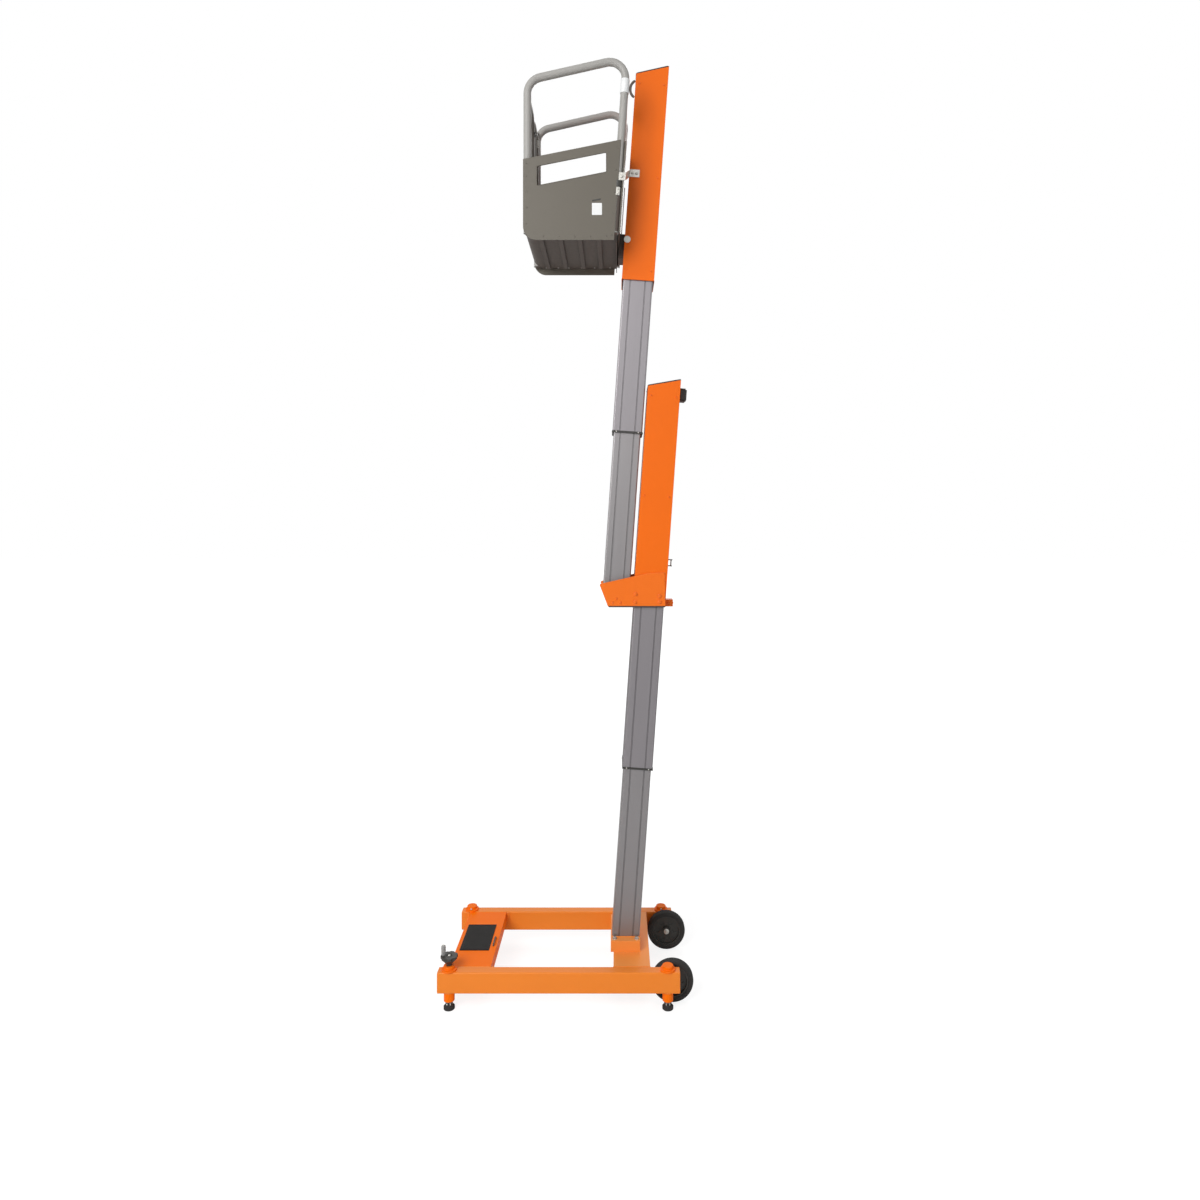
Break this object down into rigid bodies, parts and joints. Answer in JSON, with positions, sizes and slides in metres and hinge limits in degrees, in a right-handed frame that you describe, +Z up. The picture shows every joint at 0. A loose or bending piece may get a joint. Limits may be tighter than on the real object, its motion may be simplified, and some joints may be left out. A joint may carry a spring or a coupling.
{
  "type": "vertical mast lift",
  "caption": "Push-around personal lift: a basket on a leaning two-stage telescopic mast of grey columns and orange covers, over a low orange wheeled base.",
  "frame": {"origin": "centre of the machine's footprint on the floor, under the feet", "axes": "+X to the back, where the wheels are; +Y to the machine's right side, away from the picture's viewer; +Z up"},
  "size_m": [1.29, 0.7209, 4.876],
  "materials": {
    "orange_paint": "gloss",
    "column_aluminium": "satin",
    "sleeve_aluminium": "satin",
    "grey_panel_paint": "satin",
    "grey_rail_paint": "satin",
    "dark_steel": "satin",
    "zinc_steel": "satin",
    "black_plastic": "matte",
    "wear_plastic": "matte",
    "grey_plastic": "matte",
    "black_rubber": "matte",
    "tyre": "matte"
  },
  "bodies": {
    "base": {"rail_left": "orange_paint", "rail_right": "orange_paint", "foot_sockets": "orange_paint", "feet": "black_rubber", "jack_handwheel": "black_plastic", "jack_grip": "grey_plastic", "front_deck": "orange_paint", "tread_pad": "black_rubber", "deck_gussets": "orange_paint", "deck_catch": "zinc_steel", "rear_beam": "orange_paint", "mast_shoe": "orange_paint", "axle_left": "zinc_steel", "axle_right": "zinc_steel", "lower_column": "column_aluminium", "lower_column_pads": "wear_plastic"},
    "left_wheel": {"wheel_left_tyre": "tyre", "wheel_left_rim": "black_plastic"},
    "right_wheel": {"wheel_right_tyre": "tyre", "wheel_right_rim": "black_plastic"},
    "lower_mast": {"lower_sleeve": "sleeve_aluminium", "lower_sleeve_collar": "black_plastic", "lower_sleeve_pads": "wear_plastic"},
    "carriage": {"lower_cover": "orange_paint", "lower_cover_cap": "black_plastic", "carriage_plate_left": "orange_paint", "carriage_plate_right": "orange_paint", "carriage_cradle": "orange_paint", "column_clamps": "dark_steel", "column_saddle": "zinc_steel", "carriage_tail": "orange_paint", "carriage_tail_cap": "grey_plastic", "cover_brackets": "dark_steel", "upper_column": "column_aluminium", "upper_column_pads": "wear_plastic"},
    "upper_mast": {"upper_sleeve": "sleeve_aluminium", "upper_sleeve_collar": "black_plastic", "upper_sleeve_pads": "wear_plastic"},
    "basket": {"upper_cover": "orange_paint", "upper_cover_cap": "black_plastic", "basket_floor": "dark_steel", "basket_side_left": "grey_panel_paint", "basket_side_right": "grey_panel_paint", "basket_rail_left": "grey_rail_paint", "basket_rail_right": "grey_rail_paint", "basket_back": "grey_panel_paint", "basket_back_bar": "grey_rail_paint", "basket_hanger": "dark_steel", "basket_straps": "zinc_steel", "hanger_bolts": "zinc_steel", "basket_hook": "dark_steel", "winding_box": "black_plastic", "winding_crank": "zinc_steel", "gate_lugs": "grey_rail_paint"},
    "left_gate": {"gate_left": "grey_panel_paint"},
    "right_gate": {"gate_right": "grey_panel_paint"}
  },
  "joints": [
    {"name": "lower_mast_slide", "type": "slide", "parent": "base", "child": "lower_mast", "axis": [0.0698, 0, 0.9976], "range_m": [-0.872, 0]},
    {"name": "carriage_slide", "type": "slide", "parent": "lower_mast", "child": "carriage", "axis": [0.0698, 0, 0.9976], "range_m": [-0.8481, 0]},
    {"name": "upper_mast_slide", "type": "slide", "parent": "carriage", "child": "upper_mast", "axis": [0.0698, 0, 0.9976], "range_m": [-0.8581, 0]},
    {"name": "basket_slide", "type": "slide", "parent": "upper_mast", "child": "basket", "axis": [0.0698, 0, 0.9976], "range_m": [-0.7981, 0]},
    {"name": "left_wheel_spin", "type": "hinge", "parent": "base", "child": "left_wheel", "pos_m": [0.538, -0.258, 0.11], "axis": [0, 1, 0], "continuous": true},
    {"name": "right_wheel_spin", "type": "hinge", "parent": "base", "child": "right_wheel", "pos_m": [0.538, 0.258, 0.11], "axis": [0, 1, 0], "continuous": true},
    {"name": "left_gate_hinge", "type": "hinge", "parent": "basket", "child": "left_gate", "pos_m": [-0.203, -0.222, 4.33], "axis": [0, 0, 1], "range_deg": [-90, 0], "stiffness_Nm_per_rad": 3},
    {"name": "right_gate_hinge", "type": "hinge", "parent": "basket", "child": "right_gate", "pos_m": [-0.203, 0.222, 4.33], "axis": [0, 0, 1], "range_deg": [0, 90], "stiffness_Nm_per_rad": 3}
  ],
  "couplings": [
    {"joint": "carriage_slide", "follows": "lower_mast_slide", "ratio": 0.97248},
    {"joint": "upper_mast_slide", "follows": "lower_mast_slide", "ratio": 0.98394},
    {"joint": "basket_slide", "follows": "lower_mast_slide", "ratio": 0.91514}
  ]
}
